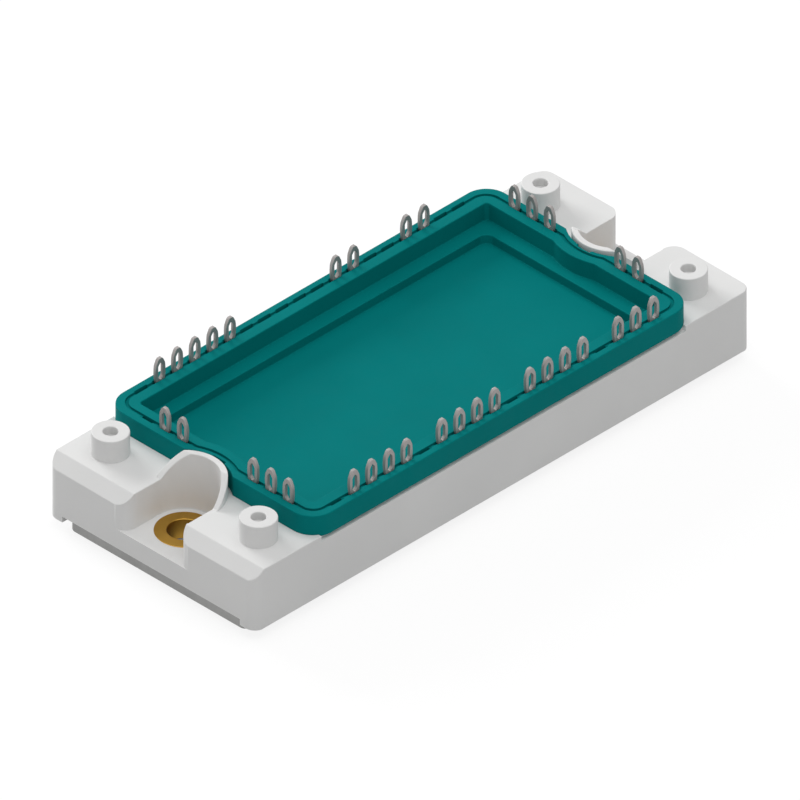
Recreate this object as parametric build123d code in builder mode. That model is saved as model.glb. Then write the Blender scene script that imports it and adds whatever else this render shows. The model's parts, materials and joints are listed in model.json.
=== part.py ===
from build123d import *
import os

os.makedirs("parts", exist_ok=True)

# Power module with press-fit pins. Sizes are in millimetres, X runs along the module,
# Y across it and Z up. The origin is the centre of the base plate's mounting face.

# Outline and mounting
module_length = 107.5
module_width = 45.0
housing_corner = 2.0
screw_inset = 7.25
screw_hole = 5.5
standoff_inset = 6.5

# Base plate, set in from the housing's sides, and the gap to the long skirts beside it
plate_end_inset = 1.35
plate_side_inset = 3.5
plate_thickness = 3.0
plate_corner = 1.05
plate_gap = 0.2

# Housing heights, counted from the top of the base plate
skirt_depth = 1.1
floor_thickness = 3.5
shelf_height = 3.0
seat_height = 9.6

# Housing steps above and below the lid's seat
pocket_depth = 0.4
ledge_drop = 0.6
ledge_width = 0.7

# End blocks, screw recesses and their collars
block_length = 14.35
end_chamfer = 2.0
recess_radius = 5.6
recess_entry = 2.4
collar_wall = 1.05
collar_height = 3.85
ramp_foot = 0.5
ramp_head = 4.65

# Board standoffs, with a lead-in over a pilot hole for a thread-forming screw
standoff_diameter = 6.0
standoff_height = 4.0
lead_in_diameter = 2.4
lead_in_depth = 1.5
pilot_diameter = 1.8
pilot_depth = 9.0

# Hollows under the end blocks, between the recesses and the standoffs
core_wall = 1.6
core_roof = 2.0

# Bushings for the mounting screws
bushing_diameter = 9.5
bushing_proud = 0.1

# Lid, with a round notch in each end whose centre lies beyond the screw
lid_end_inset = 12.45
lid_height = 3.9
lid_corner = 4.0
lid_gap = 0.05
notch_shift = 1.95
notch_radius = 8.87
rim_end = 3.7
rim_side = 3.8
well_depth = 3.15
well_bulge = 11.7
well_corner = 0.6
tray_inset_x = 2.6
tray_inset_y = 2.5
tray_depth = 1.65
tray_corner = 1.5
panel_thickness = 1.5
panel_gap = 0.2

# Hollow under the lid's rim, and the groove and slots that the pins come out of
rim_skin = 1.1
rim_leg = 1.2
rim_roof = 1.4
groove_depth = 0.4
groove_width = 0.6
groove_corner = 2.2
groove_bulge = 10.2
slot_length = 2.65
slot_clearance = 0.1

# Pin grid: places are counted both ways from its middle, which lies a little towards -X and -Y
pin_pitch = 3.81
grid_shift = 0.45
long_row_inset = 1.5
short_row_inset = 1.63
front_columns = (-8, -7, -6, -5, -3, -2, -1, 0, 2, 3, 4, 5, 7, 8, 9)
back_columns = (-8, -7, -6, -5, -4, 2, 3, 6, 7)
left_places = (3, 2, -2, -3, -4)
right_places = (4, 3, 2, -2, -3)
slot_places = (4, 3, 2, 0, -2, -3, -4)

# Pins: a flat strip with an eye-of-needle head and a foot bent inwards for bonding
strip_thickness = 0.6
strip_width = 1.2
heel_bevel = 0.3
foot_reach = 3.6
pin_reach = 4.0
head_width = 2.12
head_foot_width = 1.6
head_below_rim = 0.5
shoulder_height = 0.4
crown_width = 1.9
crown_height = 1.1
bevel_width = 1.1
bevel_height = 0.25
tip_width = 0.6
eye_width = 1.17
eye_length = 3.3
eye_flank = 1.3

# Cavity walls, counted inwards from the pin rows
wall_inset = 2.4
shelf_inset = 4.0

# Substrate: copper, ceramic and a patterned copper layer
substrate_gap = 0.5
copper_thickness = 0.3
ceramic_thickness = 0.38
copper_margin = 0.5
copper_gap = 0.8
pad_length = 2.0
pad_width = 1.6
rail_width = 1.6
cell_columns = 5

# Chips and thermistor
chip_thickness = 0.3
igbt_size = 6.0
diode_size = 3.8
rectifier_size = 4.8
chip_gap = 0.6
thermistor_length = 2.0
thermistor_width = 1.25
thermistor_height = 0.8

# Bond wires
wire_thickness = 0.35
wire_foot = 0.6
wire_rise = 1.2

# Levels that follow from the sizes
plate_top = plate_thickness
skirt_bottom = plate_top - skirt_depth
recess_floor = plate_top + floor_thickness
shelf_top = plate_top + shelf_height
lid_seat = plate_top + seat_height
ledge_top = lid_seat - ledge_drop
block_top = lid_seat + pocket_depth
collar_top = block_top + collar_height
standoff_top = block_top + standoff_height
rim_top = lid_seat + lid_height
well_floor = rim_top - well_depth
tray_floor = well_floor - tray_depth
pin_tip = rim_top + pin_reach
ceramic_bottom = plate_top + copper_thickness
pattern_bottom = ceramic_bottom + ceramic_thickness
pattern_top = pattern_bottom + copper_thickness
chip_top = pattern_top + chip_thickness
foot_top = shelf_top + strip_thickness

# Places that follow from the sizes
plate_length = module_length - 2 * plate_end_inset
plate_width = module_width - 2 * plate_side_inset
lid_length = module_length - 2 * lid_end_inset
screw_span = module_length - 2 * screw_inset
standoff_span = module_width - 2 * standoff_inset
screw_x = screw_span / 2
notch_x = screw_x + notch_shift
block_x = module_length / 2 - block_length
row_x = lid_length / 2 - short_row_inset
row_y = module_width / 2 - long_row_inset
collar_radius = recess_radius + collar_wall
wall_x = row_x - wall_inset
wall_y = row_y - wall_inset
opening_x = row_x - shelf_inset
opening_y = row_y - shelf_inset
well_x = lid_length / 2 - rim_end
well_y = module_width / 2 - rim_side
tray_x = well_x - tray_inset_x
tray_y = well_y - tray_inset_y
slot_width = strip_thickness + 2 * slot_clearance
groove_x = row_x - slot_width / 2
groove_y = row_y - slot_width / 2
screw_places = [(-screw_x, 0), (screw_x, 0)]
notch_places = [(-notch_x, 0), (notch_x, 0)]
last_column = int((wall_x - grid_shift - slot_length / 2) / pin_pitch)
last_place = int((wall_y - grid_shift - slot_length / 2) / pin_pitch)


def grid_place(count):
    return count * pin_pitch - grid_shift


# Every pin's place: its name, where its strip stands and how it is turned
pin_places = {}
for number, column in enumerate(front_columns, 1):
    if abs(column) <= last_column:
        pin_places[f"pin_front_{number:02d}"] = Location((grid_place(column), -row_y, 0), (0, 0, 0))
for number, column in enumerate(back_columns, 1):
    if abs(column) <= last_column:
        pin_places[f"pin_back_{number:02d}"] = Location((grid_place(column), row_y, 0), (0, 0, 180))
for number, place in enumerate(left_places, 1):
    if abs(place) <= last_place:
        pin_places[f"pin_left_{number:02d}"] = Location((-row_x, grid_place(place), 0), (0, 0, -90))
for number, place in enumerate(right_places, 1):
    if abs(place) <= last_place:
        pin_places[f"pin_right_{number:02d}"] = Location((row_x, grid_place(place), 0), (0, 0, 90))


def ring_outline(half_x, half_y, corner, bulge):
    """A rounded rectangle whose ends bend inwards round the two mounting screws."""
    with BuildSketch() as outline:
        RectangleRounded(2 * half_x, 2 * half_y, corner)
        with Locations(*notch_places):
            Circle(bulge, mode=Mode.SUBTRACT)
    return outline.sketch


lid_outline = ring_outline(lid_length / 2, module_width / 2, lid_corner, notch_radius)
lid_pocket = ring_outline(
    lid_length / 2 + lid_gap, module_width / 2 + lid_gap, lid_corner + lid_gap, notch_radius - lid_gap
)
well_outline = ring_outline(well_x, well_y, well_corner, well_bulge)
groove_inside = ring_outline(groove_x, groove_y, groove_corner, groove_bulge)
groove_outside = ring_outline(
    groove_x + groove_width,
    groove_y + groove_width,
    groove_corner + groove_width,
    groove_bulge - groove_width,
)

# Base plate
with BuildPart() as base_plate:
    with BuildSketch():
        RectangleRounded(plate_length, plate_width, plate_corner)
        with Locations(*screw_places):
            Circle(screw_hole / 2, mode=Mode.SUBTRACT)
    extrude(amount=plate_thickness)
base_plate.part.label = "base_plate"
export_step(base_plate.part, "parts/base_plate.step")

# Strip of one pin: the upright shank and the foot that bends inwards on the shelf
with BuildPart() as pin_strip:
    with BuildSketch(Plane.YZ) as strip_side:
        with Locations((0, shelf_top)):
            Rectangle(
                strip_thickness,
                rim_top - head_below_rim - shoulder_height - shelf_top,
                align=(Align.CENTER, Align.MIN),
            )
            with Locations((-strip_thickness / 2, 0)):
                Rectangle(
                    foot_reach + strip_thickness / 2,
                    strip_thickness,
                    align=(Align.MIN, Align.MIN),
                )
        heel = strip_side.vertices().sort_by_distance((-strip_thickness / 2, shelf_top))[0]
        chamfer(heel, heel_bevel)
    extrude(amount=strip_width / 2, both=True)

# Head of one pin, seen along Y: shoulders, two bowed arms round the eye, a crown and a bevelled tip
head_bottom = rim_top - head_below_rim
head_middle = (head_bottom + pin_tip - bevel_height) / 2
with BuildPart() as pin_head:
    with BuildSketch(Plane.XZ):
        with BuildLine():
            shoulder = Line(
                (0, head_bottom - shoulder_height),
                (strip_width / 2, head_bottom - shoulder_height),
            )
            flare = Line(shoulder @ 1, (head_foot_width / 2, head_bottom))
            arm = ThreePointArc(
                flare @ 1, (head_width / 2, head_middle), (crown_width / 2, pin_tip - crown_height)
            )
            crown = Line(arm @ 1, (bevel_width / 2, pin_tip - bevel_height))
            bevel = Line(crown @ 1, (tip_width / 2, pin_tip))
            Line(bevel @ 1, (0, pin_tip))
            mirror(about=Plane.YZ)
        make_face()
        with BuildLine():
            Polyline(
                (0, head_middle - eye_length / 2),
                (eye_width / 2, head_middle - eye_flank / 2),
                (eye_width / 2, head_middle + eye_flank / 2),
                (0, head_middle + eye_length / 2),
            )
            mirror(about=Plane.YZ)
        make_face(mode=Mode.SUBTRACT)
    extrude(amount=strip_thickness / 2, both=True)

# Pins, each one strip with its head
for name, place in pin_places.items():
    with BuildPart() as pin:
        with Locations(place):
            add(pin_strip.part)
            add(pin_head.part)
    pin.part.label = name
    export_step(pin.part, f"parts/{name}.step")

# Housing: the moulded frame with its end blocks, screw recesses, collars and standoffs
with BuildPart() as housing:
    with BuildSketch(Plane.XY.offset(skirt_bottom)):
        RectangleRounded(module_length, module_width, housing_corner)
    extrude(amount=block_top - skirt_bottom)

    # Bay between the long skirts, where the base plate lies
    with BuildSketch(Plane.XY.offset(skirt_bottom)):
        Rectangle(module_length, plate_width + 2 * plate_gap)
    extrude(amount=skirt_depth, mode=Mode.SUBTRACT)

    # Opening over the substrate, then the wider cavity above the bonding shelf
    with BuildSketch(Plane.XY.offset(plate_top)):
        Rectangle(2 * opening_x, 2 * opening_y)
    extrude(amount=shelf_height, mode=Mode.SUBTRACT)
    with BuildSketch(Plane.XY.offset(shelf_top)):
        Rectangle(2 * wall_x, 2 * wall_y)
    extrude(amount=block_top - shelf_top, mode=Mode.SUBTRACT)

    # Seat of the lid: sunk into the end blocks, open to both sides between them
    with BuildSketch(Plane.XY.offset(lid_seat)):
        add(lid_pocket)
        Rectangle(2 * block_x, module_width)
    extrude(amount=pocket_depth, mode=Mode.SUBTRACT)

    # Ledges outside the seat, under the lid's long edges
    with BuildSketch(Plane.XY.offset(ledge_top)):
        with GridLocations(0, module_width - ledge_width, 1, 2):
            Rectangle(2 * block_x, ledge_width)
    extrude(amount=ledge_drop, mode=Mode.SUBTRACT)

    # Sloping top edge of the -X end, which tells the two ends apart
    with BuildSketch(Plane.XZ):
        with BuildLine():
            Polyline(
                (-module_length / 2, block_top - end_chamfer),
                (-module_length / 2, block_top),
                (-module_length / 2 + end_chamfer, block_top),
                close=True,
            )
        make_face()
    extrude(amount=module_width / 2, both=True, mode=Mode.SUBTRACT)

    # Screw recesses, open towards the ends
    with BuildSketch(Plane.XY.offset(recess_floor)):
        with Locations(*screw_places):
            Circle(recess_radius)
        with Locations((-screw_x, 0)):
            Rectangle(block_length, 2 * recess_radius, align=(Align.MAX, Align.CENTER))
        with Locations((screw_x, 0)):
            Rectangle(block_length, 2 * recess_radius, align=(Align.MIN, Align.CENTER))
    extrude(amount=block_top - recess_floor, mode=Mode.SUBTRACT)
    for end in (0, -1):
        end_edges = housing.edges().filter_by(Axis.Z).group_by(Axis.X)[end]
        mouth_edges = end_edges.sort_by(lambda edge: abs(edge.center().Y))[:2]
        fillet(mouth_edges, recess_entry)

    # Collars round the recesses, with tops that slope down towards the ends
    with BuildSketch(Plane.XY.offset(block_top)):
        with Locations(*screw_places):
            Circle(collar_radius)
            Circle(recess_radius, mode=Mode.SUBTRACT)
        with Locations((-screw_x + ramp_foot, 0)):
            Rectangle(
                2 * collar_radius, 2 * collar_radius, align=(Align.MAX, Align.CENTER),
                mode=Mode.SUBTRACT,
            )
        with Locations((screw_x - ramp_foot, 0)):
            Rectangle(
                2 * collar_radius, 2 * collar_radius, align=(Align.MIN, Align.CENTER),
                mode=Mode.SUBTRACT,
            )
    extrude(amount=collar_height)
    with BuildSketch(Plane.XZ):
        with BuildLine():
            Polyline(
                (screw_x - ramp_foot, block_top),
                (screw_x - ramp_head, collar_top),
                (screw_x - ramp_foot, collar_top),
                close=True,
            )
        make_face()
        mirror(about=Plane.YZ)
    extrude(amount=collar_radius, both=True, mode=Mode.SUBTRACT)

    # Board standoffs and their screw holes
    with BuildSketch(Plane.XY.offset(block_top)):
        with GridLocations(screw_span, standoff_span, 2, 2):
            Circle(standoff_diameter / 2)
    extrude(amount=standoff_height)
    with Locations(Plane.XY.offset(standoff_top)):
        with GridLocations(screw_span, standoff_span, 2, 2):
            CounterBoreHole(
                radius=pilot_diameter / 2,
                counter_bore_radius=lead_in_diameter / 2,
                counter_bore_depth=lead_in_depth,
                depth=pilot_depth,
            )

    # Holes for the bushings
    with Locations(Plane.XY.offset(recess_floor)):
        with Locations(*screw_places):
            Hole(bushing_diameter / 2, depth=floor_thickness)

    # Hollows under the end blocks
    core_x0 = block_x + core_wall
    core_x1 = plate_length / 2 - core_wall
    core_y0 = recess_radius + core_wall
    core_y1 = (standoff_span - standoff_diameter) / 2
    with BuildSketch(Plane.XY.offset(plate_top)):
        with GridLocations(core_x0 + core_x1, core_y0 + core_y1, 2, 2):
            Rectangle(core_x1 - core_x0, core_y1 - core_y0)
    extrude(amount=block_top - core_roof - plate_top, mode=Mode.SUBTRACT)

    # Channels that hold the pins
    with Locations(*pin_places.values()):
        add(pin_strip.part, mode=Mode.SUBTRACT)
housing.part.label = "housing"
export_step(housing.part, "parts/housing.step")

# Bushings pressed into the recess floors
for name, place in zip(("bushing_left", "bushing_right"), screw_places):
    with BuildPart() as bushing:
        with BuildSketch(Plane.XY.offset(plate_top)):
            with Locations(place):
                Circle(bushing_diameter / 2)
                Circle(screw_hole / 2, mode=Mode.SUBTRACT)
        extrude(amount=floor_thickness + bushing_proud)
    bushing.part.label = name
    export_step(bushing.part, f"parts/{name}.step")

# Lid: a hollow rim round a sunk well, with a lower tray in its middle
with BuildPart() as lid:
    with BuildSketch(Plane.XY.offset(lid_seat)):
        add(lid_outline)
    extrude(amount=lid_height)

    # Panels under the well and the tray, which hang into the cavity
    with BuildSketch(Plane.XY.offset(well_floor - panel_thickness)):
        Rectangle(2 * (wall_x - panel_gap), 2 * (wall_y - panel_gap))
    extrude(amount=lid_seat - well_floor + panel_thickness)
    with BuildSketch(Plane.XY.offset(tray_floor - panel_thickness)):
        Rectangle(2 * (tray_x + panel_thickness), 2 * (tray_y + panel_thickness))
    extrude(amount=tray_depth)

    # Well and tray
    with BuildSketch(Plane.XY.offset(rim_top)):
        add(well_outline)
    extrude(amount=-well_depth, mode=Mode.SUBTRACT)
    with BuildSketch(Plane.XY.offset(well_floor)):
        RectangleRounded(2 * tray_x, 2 * tray_y, tray_corner)
    extrude(amount=-tray_depth, mode=Mode.SUBTRACT)

    # Hollow under the rim, which stops short of the notches
    with BuildSketch(Plane.XY.offset(lid_seat)):
        add(
            ring_outline(
                lid_length / 2 - rim_skin, module_width / 2 - rim_skin, lid_corner - rim_skin, well_bulge
            )
        )
        Rectangle(2 * (well_x + rim_leg), 2 * (well_y + rim_leg), mode=Mode.SUBTRACT)
    extrude(amount=lid_height - rim_roof, mode=Mode.SUBTRACT)

    # Groove along the pin rows and a slot at every place of the grid
    with BuildSketch(Plane.XY.offset(rim_top)):
        add(groove_outside)
        add(groove_inside, mode=Mode.SUBTRACT)
    extrude(amount=-groove_depth, mode=Mode.SUBTRACT)
    with BuildSketch(Plane.XY.offset(rim_top)):
        for column in range(-last_column, last_column + 1):
            with Locations((grid_place(column), -row_y), (grid_place(column), row_y)):
                Rectangle(slot_length, slot_width)
        for place in slot_places:
            if abs(place) <= last_place:
                with Locations((-row_x, grid_place(place)), (row_x, grid_place(place))):
                    Rectangle(slot_width, slot_length)
    extrude(amount=-lid_height, mode=Mode.SUBTRACT)
lid.part.label = "lid"
export_step(lid.part, "parts/lid.step")

# Places on the substrate: a field of cells for the chips inside a border of pads
ceramic_x = opening_x - substrate_gap
ceramic_y = opening_y - substrate_gap
copper_x = ceramic_x - copper_margin
copper_y = ceramic_y - copper_margin
field_x = copper_x - pad_length - copper_gap
field_y = copper_y - pad_length - copper_gap
rail_y = -field_y + rail_width / 2
column_pitch = 2 * field_x / cell_columns
upper_height = field_y - copper_gap / 2
lower_height = upper_height - rail_width - copper_gap
upper_y = field_y - upper_height / 2
lower_y = -(copper_gap + lower_height) / 2
cell_width = column_pitch - copper_gap


def cell_x(column):
    return (column - (cell_columns - 1) / 2) * column_pitch


# Pairs of one transistor and its diode, then pairs of rectifier diodes
pair_cells = [(cell_x(1), upper_y)]
for column in (2, 3, 4):
    pair_cells.append((cell_x(column), upper_y))
    pair_cells.append((cell_x(column), lower_y))
rectifier_cells = [(cell_x(0), upper_y), (cell_x(0), lower_y), (cell_x(1), lower_y)]
pair_span = igbt_size + chip_gap + diode_size

# Bottom copper and ceramic of the substrate
with BuildPart() as substrate_copper_bottom:
    with BuildSketch(Plane.XY.offset(plate_top)):
        Rectangle(2 * copper_x, 2 * copper_y)
    extrude(amount=copper_thickness)
substrate_copper_bottom.part.label = "substrate_copper_bottom"
export_step(substrate_copper_bottom.part, "parts/substrate_copper_bottom.step")

with BuildPart() as substrate_ceramic:
    with BuildSketch(Plane.XY.offset(ceramic_bottom)):
        Rectangle(2 * ceramic_x, 2 * ceramic_y)
    extrude(amount=ceramic_thickness)
substrate_ceramic.part.label = "substrate_ceramic"
export_step(substrate_ceramic.part, "parts/substrate_ceramic.step")

# Patterned copper: chip islands, the negative rail, a pad for each pin and two for the thermistor
with BuildPart() as substrate_copper_top:
    with BuildSketch(Plane.XY.offset(pattern_bottom)):
        for column in (0, 1):
            with Locations((cell_x(column), upper_y)):
                Rectangle(cell_width, upper_height)
        with Locations((cell_x(3), upper_y)):
            Rectangle(3 * column_pitch - copper_gap, upper_height)
        for column in range(cell_columns):
            with Locations((cell_x(column), lower_y)):
                Rectangle(cell_width, lower_height)
        with Locations((0, rail_y)):
            Rectangle(2 * field_x - copper_gap, rail_width)
        for place in pin_places.values():
            pad_x = max(-copper_x, min(copper_x, place.position.X))
            pad_y = max(-copper_y, min(copper_y, place.position.Y))
            if abs(place.position.Y) == row_y:
                limit = copper_x - pad_width / 2
                with Locations((max(-limit, min(limit, pad_x)), pad_y)):
                    Rectangle(pad_width, 2 * pad_length)
            else:
                limit = copper_y - pad_width / 2
                with Locations((pad_x, max(-limit, min(limit, pad_y)))):
                    Rectangle(2 * pad_length, pad_width)
        with Locations((-copper_x + pad_length / 2, 0)):
            with GridLocations(0, thermistor_length, 1, 2):
                Rectangle(pad_length, pad_width - copper_gap / 2)
        Rectangle(2 * copper_x, 2 * copper_y, mode=Mode.INTERSECT)
    extrude(amount=copper_thickness)
substrate_copper_top.part.label = "substrate_copper_top"
export_step(substrate_copper_top.part, "parts/substrate_copper_top.step")

# Transistor and diode chips, one pair to each switch
for number, (x, y) in enumerate(pair_cells, 1):
    with BuildPart() as igbt:
        with BuildSketch(Plane.XY.offset(pattern_top)):
            with Locations((x - (pair_span - igbt_size) / 2, y)):
                Rectangle(igbt_size, igbt_size)
        extrude(amount=chip_thickness)
    igbt.part.label = f"chip_igbt_{number}"
    export_step(igbt.part, f"parts/chip_igbt_{number}.step")

    with BuildPart() as diode:
        with BuildSketch(Plane.XY.offset(pattern_top)):
            with Locations((x + (pair_span - diode_size) / 2, y)):
                Rectangle(diode_size, diode_size)
        extrude(amount=chip_thickness)
    diode.part.label = f"chip_diode_{number}"
    export_step(diode.part, f"parts/chip_diode_{number}.step")

# Rectifier diodes, two to each input phase
with BuildPart() as chips_rectifier:
    with BuildSketch(Plane.XY.offset(pattern_top)):
        with Locations(*rectifier_cells):
            with GridLocations(rectifier_size + chip_gap, 0, 2, 1):
                Rectangle(rectifier_size, rectifier_size)
    extrude(amount=chip_thickness)
chips_rectifier.part.label = "chips_rectifier"
export_step(chips_rectifier.part, "parts/chips_rectifier.step")

# Thermistor across its two pads
with BuildPart() as thermistor:
    with BuildSketch(Plane.XY.offset(pattern_top)):
        with Locations((-copper_x + pad_length / 2, 0)):
            Rectangle(thermistor_width, thermistor_length)
    extrude(amount=thermistor_height)
thermistor.part.label = "thermistor"
export_step(thermistor.part, "parts/thermistor.step")


def wire_profile(start, start_height, end, end_height):
    """Side view of one bond wire: a foot at each end and a bow between them."""
    step = 1 if end > start else -1
    bow_height = max(start_height, end_height) + wire_rise
    lower = [
        (start, start_height),
        (start + step * wire_foot, start_height),
        ((start + end) / 2, bow_height),
        (end - step * wire_foot, end_height),
        (end, end_height),
    ]
    upper = [(place, height + wire_thickness) for place, height in reversed(lower)]
    with BuildSketch(Plane.YZ) as profile:
        with BuildLine():
            Polyline(*lower, *upper, close=True)
        make_face()
    return profile.sketch


# Bond wires: from each pin's foot to its pad, and from each chip down to the next copper
pin_wire_start = foot_reach - wire_foot - chip_gap
pin_wire_end = shelf_inset + substrate_gap + copper_margin + pad_length - chip_gap
pair_reach = (-(pair_span - igbt_size) / 2, (pair_span - diode_size) / 2)
rectifier_reach = (-(rectifier_size + chip_gap) / 2, (rectifier_size + chip_gap) / 2)
island_landing = -copper_gap / 2 - wire_foot - chip_gap
with BuildPart() as bond_wires:
    pin_wire_solid = extrude(
        wire_profile(pin_wire_start, foot_top, pin_wire_end, pattern_top),
        amount=wire_thickness / 2,
        both=True,
        mode=Mode.PRIVATE,
    )
    with Locations(*pin_places.values()):
        add(pin_wire_solid)
    for row_height, landing in ((upper_y, island_landing), (lower_y, rail_y)):
        chip_wire_solid = extrude(
            wire_profile(row_height, chip_top, landing - wire_foot / 2, pattern_top),
            amount=wire_thickness / 2,
            both=True,
            mode=Mode.PRIVATE,
        )
        chip_places = [(x + reach, 0) for x, y in pair_cells if y == row_height for reach in pair_reach]
        chip_places += [
            (x + reach, 0) for x, y in rectifier_cells if y == row_height for reach in rectifier_reach
        ]
        with Locations(*chip_places):
            add(chip_wire_solid)
bond_wires.part.label = "bond_wires"
export_step(bond_wires.part, "parts/bond_wires.step")
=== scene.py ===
# %% [markdown]
# # Power module with press-fit pins
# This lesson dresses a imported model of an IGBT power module: a pale moulded housing, a teal lid, a
# nickel-plated base plate, brass bushings and rows of press-fit pins. The solids already have their
# real shapes and sizes. What is left to make here is the finish of each surface, the small rounded
# edges that a mould leaves, and a plain studio to look at it all.

# %% Frame
import json
import math
import bpy
from mathutils import Matrix, Vector


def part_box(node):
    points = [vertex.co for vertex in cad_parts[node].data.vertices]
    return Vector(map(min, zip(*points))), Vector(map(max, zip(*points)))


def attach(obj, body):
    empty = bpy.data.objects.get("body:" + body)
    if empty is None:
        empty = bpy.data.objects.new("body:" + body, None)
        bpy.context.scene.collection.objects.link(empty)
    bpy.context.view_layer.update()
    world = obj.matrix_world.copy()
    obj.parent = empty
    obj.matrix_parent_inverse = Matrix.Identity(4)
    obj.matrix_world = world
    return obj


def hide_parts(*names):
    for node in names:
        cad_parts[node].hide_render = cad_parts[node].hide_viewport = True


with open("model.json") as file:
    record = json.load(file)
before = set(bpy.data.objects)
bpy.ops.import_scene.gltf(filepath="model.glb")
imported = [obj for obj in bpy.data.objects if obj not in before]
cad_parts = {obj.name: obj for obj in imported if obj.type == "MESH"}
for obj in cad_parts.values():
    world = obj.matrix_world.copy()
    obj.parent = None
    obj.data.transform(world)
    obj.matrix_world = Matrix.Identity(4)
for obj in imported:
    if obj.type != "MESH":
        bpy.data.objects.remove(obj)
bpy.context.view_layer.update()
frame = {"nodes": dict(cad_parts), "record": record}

print("solids loaded:", len(frame["nodes"]))

# %% [markdown]
# ## Camera
# The module is drawn in a parallel view from above one corner, so that both long and short edges run
# at thirty degrees. An orthographic camera gives such a view. It stands on the line that makes equal
# angles with all three axes, and its scale is the width of the picture in metres.

# %% Camera
PICTURE_WIDTH = 0.12235
VIEW_CENTRE = Vector((0.00005, -0.00005, 0.00757))
VIEW_DIRECTION = Vector((-1.0, -1.0, 1.0)).normalized()
CAMERA_DISTANCE = 0.6
CAMERA_REACH = 10.0

bpy.ops.object.select_all(action="DESELECT")
bpy.ops.object.camera_add(location=VIEW_CENTRE + VIEW_DIRECTION * CAMERA_DISTANCE)
camera = bpy.context.object
camera.name = "camera"
camera.rotation_euler = VIEW_DIRECTION.to_track_quat("Z", "Y").to_euler()
camera.data.type = "ORTHO"
camera.data.ortho_scale = PICTURE_WIDTH
camera.data.clip_end = CAMERA_REACH
bpy.context.scene.camera = camera
print("width of the picture, in metres:", PICTURE_WIDTH)

# %% [markdown]
# ## Finishes
# Every finish is a small network of nodes on object coordinates, in metres, so a pattern keeps its
# real size on every piece. Three helpers keep the networks short: one starts a material with its
# shader, one adds a noise pattern at a size given in metres, and one turns a pattern into a range of
# values.


# %% Helpers for finishes
PATTERN_LOW, PATTERN_HIGH = 0.3, 0.7


def new_finish(name):
    """A material with nodes, its shader and its object coordinates."""
    finish = bpy.data.materials.new(name)
    finish.use_nodes = True
    nodes = finish.node_tree.nodes
    shader = nodes["Principled BSDF"]
    place = nodes.new("ShaderNodeTexCoord").outputs["Object"]
    return finish, shader, place


def noise(finish, place, size, detail=2.0):
    """A noise pattern whose features are about one size across."""
    pattern = finish.node_tree.nodes.new("ShaderNodeTexNoise")
    pattern.inputs["Scale"].default_value = 1.0 / size
    pattern.inputs["Detail"].default_value = detail
    finish.node_tree.links.new(place, pattern.inputs["Vector"])
    return pattern.outputs["Fac"]


def spread(finish, pattern, low, high, socket):
    """Turns a pattern's middle range into values from low to high, on a shader's socket."""
    mapper = finish.node_tree.nodes.new("ShaderNodeMapRange")
    mapper.inputs["From Min"].default_value = PATTERN_LOW
    mapper.inputs["From Max"].default_value = PATTERN_HIGH
    mapper.inputs["To Min"].default_value = low
    mapper.inputs["To Max"].default_value = high
    finish.node_tree.links.new(pattern, mapper.inputs["Value"])
    finish.node_tree.links.new(mapper.outputs["Result"], socket)


def tint(finish, pattern, low, high, socket):
    """Blends two colours by a pattern, on a shader's colour socket."""
    ramp = finish.node_tree.nodes.new("ShaderNodeValToRGB")
    ramp.color_ramp.elements[0].position = PATTERN_LOW
    ramp.color_ramp.elements[0].color = (*low, 1.0)
    ramp.color_ramp.elements[1].position = PATTERN_HIGH
    ramp.color_ramp.elements[1].color = (*high, 1.0)
    finish.node_tree.links.new(pattern, ramp.inputs["Fac"])
    finish.node_tree.links.new(ramp.outputs["Color"], socket)


def relief(finish, pattern, depth, shader):
    """Fine relief of a given depth in metres."""
    bump = finish.node_tree.nodes.new("ShaderNodeBump")
    bump.inputs["Distance"].default_value = depth
    finish.node_tree.links.new(pattern, bump.inputs["Height"])
    finish.node_tree.links.new(bump.outputs["Normal"], shader.inputs["Normal"])


# %% [markdown]
# A moulding has a faint clouding of its colour, patches that are a little more or less matt, and a fine
# grain that the mould prints on it. Each is a noise of its own size.

# %% Moulded plastics
CLOUDS, MATT_PATCHES, MOULD_RELIEF = 0.012, 0.003, 0.00001
GRAIN_DETAIL = 3.0


def moulded_plastic(name, low, high, rough_low, rough_high, grain, gloss=0.3):
    """A plastic between two colours and two roughnesses; the grain is in metres."""
    finish, shader, place = new_finish(name)
    tint(finish, noise(finish, place, CLOUDS), low, high, shader.inputs["Base Color"])
    patches = noise(finish, place, MATT_PATCHES)
    spread(finish, patches, rough_low, rough_high, shader.inputs["Roughness"])
    relief(finish, noise(finish, place, grain, GRAIN_DETAIL), MOULD_RELIEF, shader)
    shader.inputs["Specular IOR Level"].default_value = gloss
    return finish


housing_finish = moulded_plastic(
    "housing_plastic", (0.745, 0.745, 0.740), (0.775, 0.775, 0.770), 0.52, 0.64, 0.0004, 0.2
)
lid_finish = moulded_plastic(
    "lid_plastic", (0.0, 0.183, 0.183), (0.0, 0.197, 0.197), 0.52, 0.64, 0.0005, 0.03
)


# %% [markdown]
# Working leaves fine lines in metal: milling and drawing leave straight ones, turning leaves rings.
# Both come from the same noise. Coordinates squeezed in one direction draw it out into lines, and
# coordinates that hold only the distance from the screw's axis and the height bend it into rings.


# %% Lines and rings
SCREW_PLACE = 0.0465


def drawn_out(finish, place, squeeze):
    """Coordinates squeezed along some axes, which stretches a pattern into lines along them."""
    mapping = finish.node_tree.nodes.new("ShaderNodeMapping")
    mapping.inputs["Scale"].default_value = squeeze
    finish.node_tree.links.new(place, mapping.inputs["Vector"])
    return mapping.outputs["Vector"]


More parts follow.
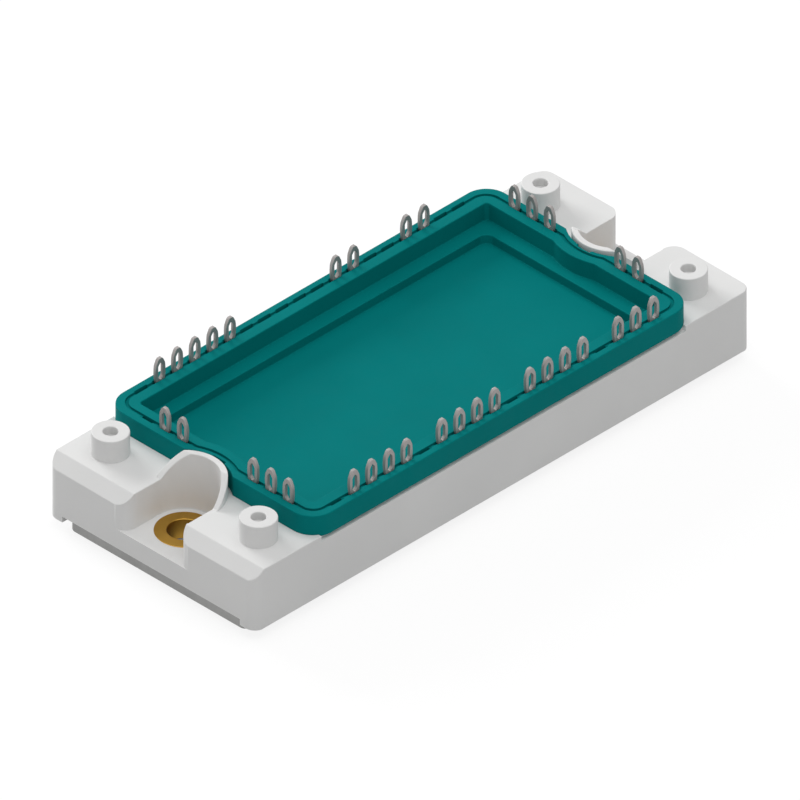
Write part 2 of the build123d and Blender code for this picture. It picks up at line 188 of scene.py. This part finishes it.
def math_node(finish, operation, first, second=0.0):
    """One step of arithmetic; the first value is linked, the second is linked or a number."""
    step = finish.node_tree.nodes.new("ShaderNodeMath")
    step.operation = operation
    finish.node_tree.links.new(first, step.inputs[0])
    if isinstance(second, float):
        step.inputs[1].default_value = second
    else:
        finish.node_tree.links.new(second, step.inputs[1])
    return step.outputs["Value"]


def ringed(finish, place):
    """Coordinates that hold the distance from the nearer screw's axis, and the height."""
    nodes, links = finish.node_tree.nodes, finish.node_tree.links
    split = nodes.new("ShaderNodeSeparateXYZ")
    links.new(place, split.inputs["Vector"])
    from_middle = math_node(finish, "ABSOLUTE", split.outputs["X"])
    across = math_node(finish, "SUBTRACT", from_middle, SCREW_PLACE)
    along = split.outputs["Y"]
    across_squared = math_node(finish, "MULTIPLY", across, across)
    along_squared = math_node(finish, "MULTIPLY", along, along)
    distance = math_node(finish, "SQRT", math_node(finish, "ADD", across_squared, along_squared))
    ring = nodes.new("ShaderNodeCombineXYZ")
    links.new(distance, ring.inputs["X"])
    links.new(split.outputs["Z"], ring.inputs["Z"])
    return ring.outputs["Vector"]


# %% Metals
TARNISH, TOOL_MARKS, METAL_RELIEF = 0.004, 0.0006, 0.000004
EVEN = (1.0, 1.0, 1.0)


def metal(name, low, high, rough_low, rough_high, grain, shine=1.0, squeeze=EVEN, turned=False):
    """A metal between two colours and two roughnesses, drawn out by a squeeze, or turned."""
    finish, shader, place = new_finish(name)
    worked = ringed(finish, place) if turned else drawn_out(finish, place, squeeze)
    shader.inputs["Metallic"].default_value = shine
    tint(finish, noise(finish, place, TARNISH), low, high, shader.inputs["Base Color"])
    marks = noise(finish, worked, TOOL_MARKS)
    spread(finish, marks, rough_low, rough_high, shader.inputs["Roughness"])
    relief(finish, noise(finish, worked, grain, GRAIN_DETAIL), METAL_RELIEF, shader)
    return finish


plate_finish = metal(
    "plate_metal", (0.27, 0.27, 0.265), (0.31, 0.31, 0.305), 0.4, 0.5, 0.0003,
    squeeze=(0.05, 1.0, 1.0),
)
brass_finish = metal(
    "brass", (0.46, 0.265, 0.045), (0.53, 0.305, 0.056), 0.32, 0.46, 0.0002, turned=True
)
tin_finish = metal(
    "tin", (0.35, 0.328, 0.320), (0.40, 0.376, 0.367), 0.42, 0.54, 0.0002, 0.4,
    squeeze=(1.0, 1.0, 0.1),
)
copper_finish = metal("copper", (0.62, 0.28, 0.18), (0.70, 0.34, 0.22), 0.3, 0.42, 0.0002)
wire_finish = metal("wire_aluminium", (0.76, 0.76, 0.77), (0.82, 0.82, 0.83), 0.2, 0.3, 0.0001)
chip_finish = metal("silicon", (0.30, 0.31, 0.34), (0.36, 0.37, 0.40), 0.25, 0.35, 0.0003)
ceramic_finish = moulded_plastic(
    "ceramic", (0.78, 0.77, 0.74), (0.82, 0.81, 0.78), 0.45, 0.55, 0.0002
)
thermistor_finish = moulded_plastic(
    "thermistor_body", (0.03, 0.03, 0.032), (0.04, 0.04, 0.042), 0.4, 0.5, 0.0002
)

# %% [markdown]
# The record names a material slot for each solid. A finish is made for every slot, so each solid gets
# its own, the hidden ones too.

# %% Finishes on the solids
finish_of_slot = {
    "housing_plastic": housing_finish,
    "lid_plastic": lid_finish,
    "plate_metal": plate_finish,
    "brass": brass_finish,
    "tin": tin_finish,
    "copper": copper_finish,
    "wire_aluminium": wire_finish,
    "silicon": chip_finish,
    "ceramic": ceramic_finish,
    "thermistor_body": thermistor_finish,
}
slot_of_node = {row["node"]: row["material_slot"] for row in frame["record"]["subparts"]}
for node, slot_name in slot_of_node.items():
    for slot in frame["nodes"][node].material_slots:
        slot.material = finish_of_slot[slot_name]
print("solids finished:", len(slot_of_node))

# %% [markdown]
# ## Edges as a mould and a die leave them
# The solids have sharp edges, and no real one has: a mould leaves a small radius on plastic, and
# stamping, turning and milling leave one on metal. It is this radius that catches a thin line of
# light. It could be drawn with a shader alone, but then the mesh would stay sharp. So each visible
# solid gets a copy whose loose triangles are merged and whose flat faces are joined, and chosen edges
# of the copy are bevelled. The copy then stands for the solid.

# %% Helpers for shaped copies
MM = 0.001
CLOSE, NEAR = 0.05, 0.1
MERGE_DISTANCE, SLIVER = 0.000001, 0.000002
FLAT_ANGLE, SMOOTH_ANGLE = 0.5, 35.0


def pick(piece):
    """Selects one piece and makes it active."""
    bpy.ops.object.select_all(action="DESELECT")
    piece.select_set(True)
    bpy.context.view_layer.objects.active = piece


def merged_copy(node, name):
    """A closed copy of a solid, with one face for each flat area."""
    piece = bpy.data.objects.new(name, frame["nodes"][node].data.copy())
    bpy.context.scene.collection.objects.link(piece)
    pick(piece)
    bpy.ops.mesh.customdata_custom_splitnormals_clear()
    bpy.ops.object.mode_set(mode="EDIT")
    bpy.ops.mesh.select_all(action="SELECT")
    bpy.ops.mesh.remove_doubles(threshold=MERGE_DISTANCE)
    bpy.ops.mesh.dissolve_limited(angle_limit=math.radians(FLAT_ANGLE))
    bpy.ops.object.mode_set(mode="OBJECT")
    return piece


def round_edges(piece, share_of, radius, segments, sharp=32.0, clamp=True):
    """Bevels sharp edges. share_of says what share of the radius an edge gets, from its middle, in
    millimetres, and its direction. An edge is sharp from an angle in degrees. The clamp narrows all
    bevels of a piece where two of them would meet, and small faces that are left over are removed."""
    pick(piece)
    bpy.ops.object.mode_set(mode="EDIT")
    bpy.ops.mesh.select_mode(type="EDGE")
    bpy.ops.mesh.select_all(action="DESELECT")
    bpy.ops.mesh.edges_select_sharp(sharpness=math.radians(sharp))
    bpy.ops.object.mode_set(mode="OBJECT")
    mesh = piece.data
    shares = mesh.attributes.new("bevel_weight_edge", "FLOAT", "EDGE")
    for edge in mesh.edges:
        if edge.select:
            first, second = (mesh.vertices[i].co / MM for i in edge.vertices)
            middle, along = (first + second) / 2, (second - first).normalized()
            shares.data[edge.index].value = share_of(middle, along)
    chosen = sum(share.value > 0.0 for share in shares.data)
    rounding = piece.modifiers.new("rounding", "BEVEL")
    rounding.limit_method = "WEIGHT"
    rounding.width = radius * MM
    rounding.segments = segments
    rounding.use_clamp_overlap = clamp
    bpy.ops.object.modifier_apply(modifier=rounding.name)
    bpy.ops.object.mode_set(mode="EDIT")
    bpy.ops.mesh.select_all(action="SELECT")
    bpy.ops.mesh.dissolve_degenerate(threshold=SLIVER)
    bpy.ops.object.mode_set(mode="OBJECT")
    print(piece.name, "edges rounded:", chosen)


def finish_shape(piece, *nodes):
    """Smooth shading over roundings, flat over flats. The piece then stands for its solids."""
    pick(piece)
    bpy.ops.object.shade_smooth_by_angle(angle=math.radians(SMOOTH_ANGLE))
    flats = piece.modifiers.new("flats", "WEIGHTED_NORMAL")
    flats.keep_sharp = True
    bpy.ops.object.modifier_apply(modifier=flats.name)
    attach(piece, "root")
    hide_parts(*nodes)
    piece.data.materials.clear()
    piece.data.materials.append(finish_of_slot[slot_of_node[nodes[0]]])


# %% [markdown]
# ## Housing
# The housing is injection moulded. Its outer edges, the tops of its end blocks, the collars round the
# screws and the standoffs for the board show, so those get a radius of 0.15 mm. The edges that the lid
# covers and the channels of the pins stay as they are, because they are hidden and fit other pieces.
# The edges are chosen by where they lie, in millimetres, and the clamp is off, because one short edge
# would take the radius from them all.

# %% Housing
BLOCK_TOP, LEDGE_TOP, RECESS_FLOOR = 13.0, 12.0, 6.5
LID_END, SIDE, END = 41.3, 22.5, 53.75
STANDOFF_X, STANDOFF_Y, STANDOFF_TOP, STANDOFF_RADIUS = 46.5, 16.0, 17.0, 3.0
COLLAR_RADIUS, MOUTH_END, MOUTH_SIDE, SILL_SIDE = 6.65, 51.2, 8.3, 5.4
LID_CLEARANCE, CHAMFER_FOOT = 0.7, 2.5
MOULD_RADIUS, MOULD_SEGMENTS = 0.15, 3


def housing_edge(middle, along):
    """The tops of blocks, collars and standoffs, the long walls and the two ends."""
    x, y, z = abs(middle.x), abs(middle.y), middle.z
    from_standoff = math.hypot(x - STANDOFF_X, y - STANDOFF_Y)
    from_screw = math.hypot(x - STANDOFF_X, y)
    if from_standoff < STANDOFF_RADIUS + NEAR:
        return 1.0 if z > STANDOFF_TOP - CLOSE else 0.0
    if x > MOUTH_END and y < MOUTH_SIDE and z > RECESS_FLOOR + NEAR:
        return 0.0
    if abs(from_screw - COLLAR_RADIUS) < NEAR and z < BLOCK_TOP + CLOSE:
        return 0.0
    on_block = x > LID_END + LID_CLEARANCE and z > BLOCK_TOP - CHAMFER_FOOT
    on_collar = z > BLOCK_TOP + CLOSE
    on_long_wall = y > SIDE - CLOSE and z < LEDGE_TOP + NEAR
    on_sill = x > END - CLOSE and abs(z - RECESS_FLOOR) < CLOSE and y < SILL_SIDE
    return 1.0 if on_block or on_collar or on_long_wall or on_sill else 0.0


housing = merged_copy("housing", "moulded_housing")
round_edges(housing, housing_edge, MOULD_RADIUS, MOULD_SEGMENTS, clamp=False)
finish_shape(housing, "housing")

# %% [markdown]
# ## Lid
# The lid is a shell with a sunk well and a lower tray. The outer and inner edges of its rim and the
# steps of the well are rounded. The groove and the slots of the pins are only a few tenths of a
# millimetre apart, so they keep their edges. How deep a point lies inside the lid's outline tells the
# two apart.

# %% Lid
LID_SIDE, LID_CORNER = 22.5, 4.0
NOTCH_PLACE, NOTCH_RADIUS = 48.45, 8.87
LID_SEAT, LID_TOP = 12.6, 16.5
GROOVE_DEPTHS = (0.6, 2.5)
VISIBLE_STEPS = (11.7, 13.35, 16.5)


def depth_in_lid(x, y):
    """How far a point lies inside the lid's outline, seen from above."""
    across = abs(x) - LID_END + LID_CORNER
    along = abs(y) - LID_SIDE + LID_CORNER
    outside = math.hypot(max(across, 0.0), max(along, 0.0)) + min(max(across, along), 0.0)
    to_notch = math.hypot(abs(x) - NOTCH_PLACE, y) - NOTCH_RADIUS
    return min(LID_CORNER - outside, to_notch)


def lid_edge(middle, along):
    """The rim's outline and the steps of the well, outside and inside the groove."""
    depth = depth_in_lid(middle.x, middle.y)
    from_step = min(abs(middle.z - step) for step in VISIBLE_STEPS)
    on_outline = depth < GROOVE_DEPTHS[0] and middle.z > LID_SEAT - NEAR
    on_step = depth > GROOVE_DEPTHS[1] and from_step < CLOSE
    return 1.0 if on_outline or on_step else 0.0


lid = merged_copy("lid", "moulded_lid")
round_edges(lid, lid_edge, MOULD_RADIUS, MOULD_SEGMENTS)
finish_shape(lid, "lid")

# %% [markdown]
# ## Base plate and bushings
# The base plate is milled and plated, and the outline of its mounting face is rounded. The bushings
# are turned tubes, both of one shape, so one is made and copied to the other end.

# %% Base plate and bushings
PLATE_END, PLATE_SIDE, PLATE_CORNER = 52.4, 19.0, 1.1
PLATE_RADIUS, PLATE_SEGMENTS = 0.25, 2
TURNED_RADIUS, TURNED_SEGMENTS = 0.12, 3


def plate_edge(middle, along):
    """The outline of the mounting face; the upper one is hidden under the housing."""
    on_outline = abs(middle.x) > PLATE_END - PLATE_CORNER or abs(middle.y) > PLATE_SIDE - CLOSE
    return 1.0 if on_outline and middle.z < CLOSE else 0.0


plate = merged_copy("base_plate", "milled_base_plate")
round_edges(plate, plate_edge, PLATE_RADIUS, PLATE_SEGMENTS)
finish_shape(plate, "base_plate")


def copy_to(piece, name, source, target, turn=0.0):
    """A copy of a shaped piece with its own mesh, turned and moved to where another solid is."""
    low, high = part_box(source)
    other_low, other_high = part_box(target)
    twin = bpy.data.objects.new(name, piece.data.copy())
    bpy.context.scene.collection.objects.link(twin)
    twin.data.transform(
        Matrix.Translation((other_low + other_high) / 2)
        @ Matrix.Rotation(turn, 4, "Z")
        @ Matrix.Translation(-(low + high) / 2)
    )
    return twin


left_bushing = merged_copy("bushing_left", "turned_bushing_left")
round_edges(left_bushing, lambda middle, along: 1.0, TURNED_RADIUS, TURNED_SEGMENTS)
right_bushing = copy_to(left_bushing, "turned_bushing_right", "bushing_left", "bushing_right")
finish_shape(left_bushing, "bushing_left")
finish_shape(right_bushing, "bushing_right")

# %% [markdown]
# ## Press-fit pins
# Each pin is stamped from strip: a shank that ends in an eye of a needle, whose two arms spring
# together in a plated hole. The eye of the solid is a plain hexagon. Here its side corners are moved
# towards the tips and a little inwards, and all its corners are rounded. Then every edge gets the small
# radius that stamping and plating leave. One pin is shaped and copied to all the others, turned to the
# side it stands on.

# %% Press-fit pins
FIRST_PIN = "pin_front_01"
EYE_HALF_WIDTH = 0.585
EYE_SLIMMER, EYE_LONGER = 0.07, 0.35
EYE_ROUNDING, EYE_SEGMENTS, EYE_SHARP = 0.2, 3, 28.0
EDGE_SHARE, HAIR, STRAIGHT = 0.25, 0.02, 0.99
TURN_OF_SIDE = {"front": 0.0, "back": math.pi, "left": -math.pi / 2, "right": math.pi / 2}
pin_low, pin_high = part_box(FIRST_PIN)
pin_middle = (pin_low.x + pin_high.x) / 2 / MM


def pin_edge(middle, along):
    """The corners of the eye get the whole radius, every other edge a small share of it."""
    across = abs(middle.x - pin_middle)
    at_tip, at_side = across < HAIR, abs(across - EYE_HALF_WIDTH + EYE_SLIMMER) < HAIR
    return 1.0 if abs(along.y) > STRAIGHT and (at_tip or at_side) else EDGE_SHARE


first_pin = merged_copy(FIRST_PIN, "stamped_" + FIRST_PIN)
corners = [
    v for v in first_pin.data.vertices
    if v.co.z > LID_TOP * MM and abs(abs(v.co.x / MM - pin_middle) - EYE_HALF_WIDTH) < HAIR
]
eye_middle = sum(v.co.z for v in corners) / len(corners)
for corner in corners:
    corner.co.x += (1.0 if corner.co.x / MM < pin_middle else -1.0) * EYE_SLIMMER * MM
    corner.co.z += (1.0 if corner.co.z > eye_middle else -1.0) * EYE_LONGER * MM
print("corners of the eye moved:", len(corners))
round_edges(first_pin, pin_edge, EYE_ROUNDING, EYE_SEGMENTS, EYE_SHARP)
pin_nodes = sorted(node for node in frame["nodes"] if node.startswith("pin_"))
for node in pin_nodes:
    if node != FIRST_PIN:
        side = node.split("_")[1]
        twin = copy_to(first_pin, "stamped_" + node, FIRST_PIN, node, TURN_OF_SIDE[side])
        finish_shape(twin, node)
finish_shape(first_pin, FIRST_PIN)
print("pins made:", len(pin_nodes))

# %% [markdown]
# ## Studio
# The light is an even glow from all sides, one wide soft panel overhead and another low behind the
# module, to its left. The tops and the walls that turn towards the low panel are bright, and the two
# walls nearest the camera have only the glow, so each plane of the moulding reads as its own tone. The
# floor is a plain pale one. What the camera and a polished surface see of it is lifted to white, which
# keeps the module's soft shadow but no edge of the floor. The glow is white too where it is seen or
# mirrored.

# %% What is seen or mirrored
def seen_or_mirrored(tree):
    """A value that is one for rays from the camera and off polished surfaces, and else nought."""
    rays = tree.nodes.new("ShaderNodeLightPath")
    seen = tree.nodes.new("ShaderNodeMath")
    seen.operation = "MAXIMUM"
    tree.links.new(rays.outputs["Is Camera Ray"], seen.inputs[0])
    tree.links.new(rays.outputs["Is Glossy Ray"], seen.inputs[1])
    return seen.outputs["Value"]


# %% Floor
WHITE = (1.0, 1.0, 1.0, 1.0)
FLOOR_SIZE = 6.0
FLOOR_GAP = 0.00001
FLOOR_TONE, FLOOR_ROUGHNESS = 0.64, 0.9
FLOOR_LIFT, LIFTED_WHITE = 0.82, 1.03
bpy.ops.object.select_all(action="DESELECT")
bpy.ops.mesh.primitive_plane_add(size=FLOOR_SIZE, location=(0.0, 0.0, -FLOOR_GAP))
floor = bpy.context.object
floor.name = "floor"
floor_finish, floor_shader, _ = new_finish("floor")
floor_shader.inputs["Base Color"].default_value = (FLOOR_TONE, FLOOR_TONE, FLOOR_TONE, 1.0)
floor_shader.inputs["Roughness"].default_value = FLOOR_ROUGHNESS
floor_shader.inputs["Specular IOR Level"].default_value = 0.0
floor_nodes = floor_finish.node_tree.nodes
floor_links = floor_finish.node_tree.links
glow = floor_nodes.new("ShaderNodeEmission")
glow.inputs["Color"].default_value = WHITE
glow.inputs["Strength"].default_value = LIFTED_WHITE
floor_seen = seen_or_mirrored(floor_finish.node_tree)
lift_share = math_node(floor_finish, "MULTIPLY", floor_seen, FLOOR_LIFT)
plain = floor_nodes.new("ShaderNodeBsdfDiffuse")
plain.inputs["Color"].default_value = WHITE
tone = floor_nodes.new("ShaderNodeMixShader")
floor_links.new(floor_seen, tone.inputs["Fac"])
floor_links.new(floor_shader.outputs["BSDF"], tone.inputs[1])
floor_links.new(plain.outputs["BSDF"], tone.inputs[2])
lift = floor_nodes.new("ShaderNodeMixShader")
floor_links.new(lift_share, lift.inputs["Fac"])
floor_links.new(tone.outputs["Shader"], lift.inputs[1])
floor_links.new(glow.outputs["Emission"], lift.inputs[2])
floor_links.new(lift.outputs["Shader"], floor_nodes["Material Output"].inputs["Surface"])
floor.data.materials.append(floor_finish)
print("floor laid, metres across:", FLOOR_SIZE)

# %% Lights
GLOW_STRENGTH = 0.47
world = bpy.data.worlds.new("studio")
bpy.context.scene.world = world
world.use_nodes = True
world_links = world.node_tree.links
background = world.node_tree.nodes["Background"]
background.inputs["Color"].default_value = WHITE
strength = world.node_tree.nodes.new("ShaderNodeMapRange")
strength.inputs["To Min"].default_value = GLOW_STRENGTH
strength.inputs["To Max"].default_value = 1.0
world_links.new(seen_or_mirrored(world.node_tree), strength.inputs["Value"])
world_links.new(strength.outputs["Result"], background.inputs["Strength"])


def soft_panel(name, azimuth, elevation, distance, width, height, energy):
    """A wide lamp that looks at the module from a direction given in degrees."""
    around, up = math.radians(azimuth), math.radians(elevation)
    level = math.cos(up)
    towards = Vector((level * math.cos(around), level * math.sin(around), math.sin(up)))
    bpy.ops.object.light_add(type="AREA", location=towards * distance)
    lamp = bpy.context.object
    lamp.name = name
    lamp.data.shape = "RECTANGLE"
    lamp.data.size = width
    lamp.data.size_y = height
    lamp.data.energy = energy
    lamp.rotation_euler = towards.to_track_quat("Z", "Y").to_euler()
    print(name, "stands", distance, "m away")


soft_panel("overhead_panel", -105.0, 78.0, distance=0.9, width=0.8, height=0.8, energy=3.2)
soft_panel("back_panel", 86.0, 24.0, distance=0.95, width=0.5, height=0.4, energy=5.2)

bpy.context.scene.view_settings.view_transform = "Standard"
